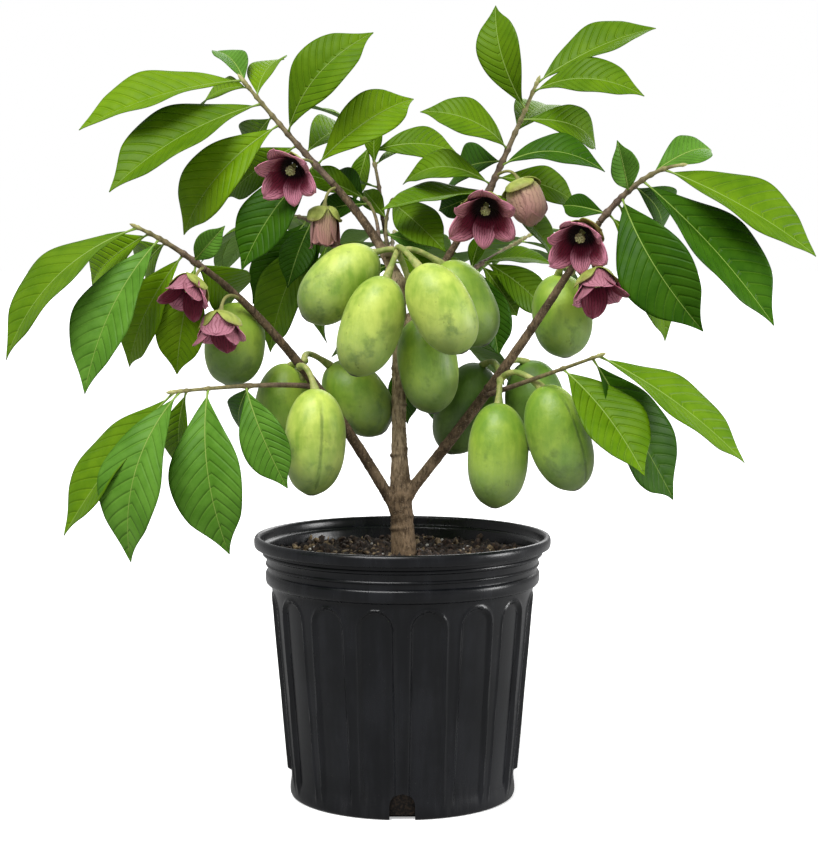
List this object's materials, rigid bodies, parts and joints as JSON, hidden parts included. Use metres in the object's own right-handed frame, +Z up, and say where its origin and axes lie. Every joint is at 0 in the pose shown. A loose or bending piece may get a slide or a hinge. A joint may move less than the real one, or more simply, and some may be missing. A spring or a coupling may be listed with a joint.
{
  "type": "potted pawpaw tree",
  "caption": "Young pawpaw tree in a round black nursery pot, with drooping oblong leaves, hanging green fruit and nodding maroon flowers.",
  "frame": {"origin": "centre of the pot's underside, on the ground the pot stands on", "axes": "+Z up the trunk, +X to the right and -Y towards the viewer in the front view, in which the widest leaves spread left and right"},
  "size_m": [0.781, 0.5886, 0.7981],
  "materials": {
    "plastic": "satin",
    "soil": "matte",
    "bark": "matte",
    "foliage": "satin",
    "fruit": "satin",
    "petal": "matte"
  },
  "bodies": {
    "root": {"pot": "plastic", "soil": "soil", "trunk": "bark", "bough_lower_left": "bark", "bough_lower_right": "bark", "bough_upper_right": "bark", "bough_upper_left": "bark", "bough_rear_right": "bark", "bough_rear_left": "bark", "bough_rear": "bark", "bough_rear_top": "bark", "shoot_upper_left": "foliage", "shoot_upper_right": "foliage", "shoot_lower_left": "foliage", "shoot_lower_right": "foliage", "shoot_low_left": "foliage", "shoot_low_right": "foliage", "shoot_inner": "foliage", "shoot_middle": "foliage", "shoot_rear_top": "foliage", "shoot_rear_left": "foliage", "shoot_rear_right": "foliage", "shoot_rear": "foliage", "shoot_rear_low": "foliage", "fruit_cluster_crown": "fruit", "fruit_front_left": "fruit", "fruit_inner_left": "fruit", "fruit_rear_left": "fruit", "fruit_upper_left": "fruit", "fruit_pair_right": "fruit", "fruit_rear_right": "fruit", "fruit_upper_right": "fruit", "blossom_upper_left": "petal", "blossom_hanging_left": "petal", "blossom_lower_left": "petal", "blossom_low_left": "petal", "blossom_upper_right": "petal", "blossom_bud": "petal", "blossom_lower_right": "petal", "blossom_low_right": "petal"}
  },
  "joints": []
}
